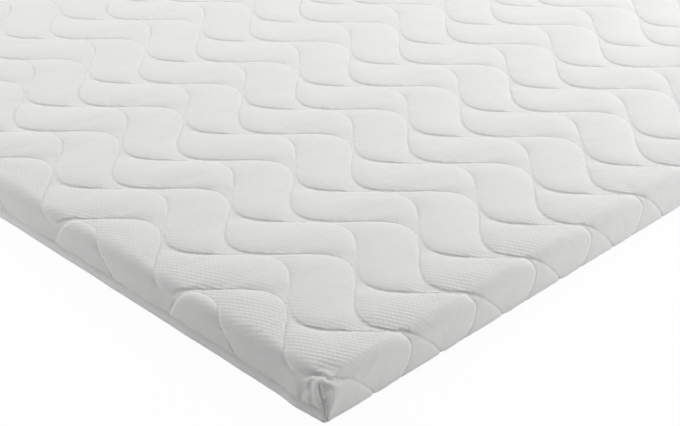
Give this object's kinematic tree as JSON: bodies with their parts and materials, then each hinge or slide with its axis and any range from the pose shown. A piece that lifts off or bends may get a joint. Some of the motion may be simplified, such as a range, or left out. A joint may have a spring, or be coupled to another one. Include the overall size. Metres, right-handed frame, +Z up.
{
  "type": "mattress topper",
  "caption": "Flat foam-filled mattress topper in white knitted cloth, quilted in long waved seams, with rolled edges and a plain lower border along each long side.",
  "frame": {"origin": "middle of the underside", "axes": "+X across the topper, +Y along it, +Z up through its thickness"},
  "size_m": [1.803, 2.003, 0.0775],
  "materials": {
    "quilted_knit": "soft matt double knit with fine dashed ribs",
    "plain_knit": "soft matt plain knit"
  },
  "bodies": {
    "root": {"quilted_body": "quilted_knit", "border_strip_left": "plain_knit", "border_strip_right": "plain_knit"}
  },
  "joints": []
}
